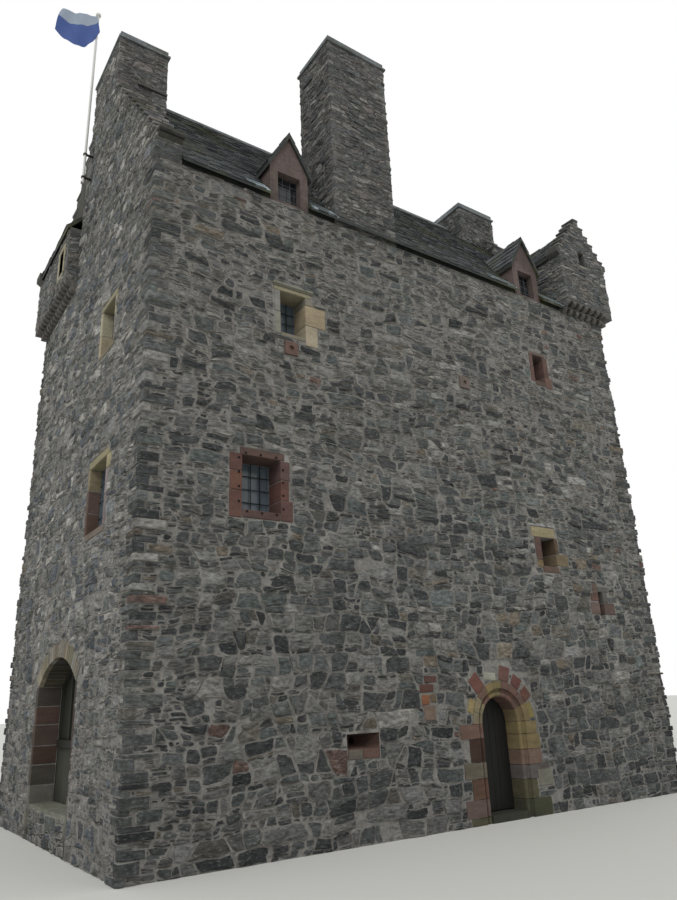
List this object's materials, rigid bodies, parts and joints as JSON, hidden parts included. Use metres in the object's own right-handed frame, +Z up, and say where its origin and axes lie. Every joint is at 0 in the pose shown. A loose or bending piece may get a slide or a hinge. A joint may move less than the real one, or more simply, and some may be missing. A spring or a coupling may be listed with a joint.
{
  "type": "castle keep",
  "caption": "Rubble-built castle keep with crow-stepped gables, slated roof, chimney stacks, dormers, corbelled corner turrets, flagpole and hinged doors.",
  "frame": {"origin": "centre of the footprint at the lowest ground", "axes": "+X along the long front away from the near gable, +Y from the long front to the back, +Z up"},
  "size_m": [13.6011, 8.15, 18.83],
  "materials": {
    "whinstone_rubble": "rough",
    "red_sandstone": "rough",
    "buff_sandstone": "rough",
    "cope_stone": "rough",
    "slate": "rough",
    "lead": "satin",
    "timber": "rough",
    "flagstone": "rough",
    "leaded_glass": "gloss",
    "dark_boards": "satin",
    "painted_boards": "satin",
    "white_paint": "gloss",
    "black_iron": "satin",
    "flag_cloth": "matte"
  },
  "bodies": {
    "keep": {"front_wall_left": "whinstone_rubble", "front_wall_right": "whinstone_rubble", "front_wall_over_door": "whinstone_rubble", "near_gable_wall": "whinstone_rubble", "near_gable_wall_sides": "whinstone_rubble", "far_gable_wall": "whinstone_rubble", "back_wall": "whinstone_rubble", "near_crow_steps": "whinstone_rubble", "far_crow_steps": "whinstone_rubble", "ground_floor": "flagstone", "upper_floors": "timber", "roof_front_slope": "slate", "roof_back_slope": "slate", "roof_ridge": "cope_stone", "lead_flashings": "lead", "near_stack": "whinstone_rubble", "middle_stack": "whinstone_rubble", "far_stack": "whinstone_rubble", "stack_copes": "cope_stone", "left_dormer": "red_sandstone", "right_dormer": "red_sandstone", "dormer_roofs": "slate", "attic_windows": "leaded_glass", "front_turret": "whinstone_rubble", "back_turret": "whinstone_rubble", "turret_corbels": "whinstone_rubble", "turret_roofs": "slate", "front_window_surrounds": "red_sandstone", "near_gable_window_surrounds": "buff_sandstone", "rear_window_surrounds": "red_sandstone", "front_windows": "leaded_glass", "near_gable_windows": "leaded_glass", "rear_windows": "leaded_glass", "side_door_arch": "red_sandstone", "side_door_frame": "dark_boards", "gable_door_arch": "buff_sandstone", "gable_door_frame": "painted_boards", "thresholds": "buff_sandstone", "gun_loop": "red_sandstone", "wall_bosses": "red_sandstone", "flagpole": "white_paint", "pole_brackets": "black_iron", "flag": "flag_cloth"},
    "side_door_leaf": {"side_door": "dark_boards"},
    "gable_leaf_left": {"gable_door_left": "painted_boards"},
    "gable_leaf_right": {"gable_door_right": "painted_boards"}
  },
  "joints": [
    {"name": "side_door_hinge", "type": "hinge", "parent": "keep", "child": "side_door_leaf", "pos_m": [1.353, -3.415, 0.12], "axis": [0, 0, -1], "range_deg": [0, 90]},
    {"name": "gable_left_hinge", "type": "hinge", "parent": "keep", "child": "gable_leaf_left", "pos_m": [-5.51, 1.208, 0.57], "axis": [0, 0, 1], "range_deg": [0, 90]},
    {"name": "gable_right_hinge", "type": "hinge", "parent": "keep", "child": "gable_leaf_right", "pos_m": [-5.51, -1.308, 0.57], "axis": [0, 0, -1], "range_deg": [0, 90]}
  ]
}
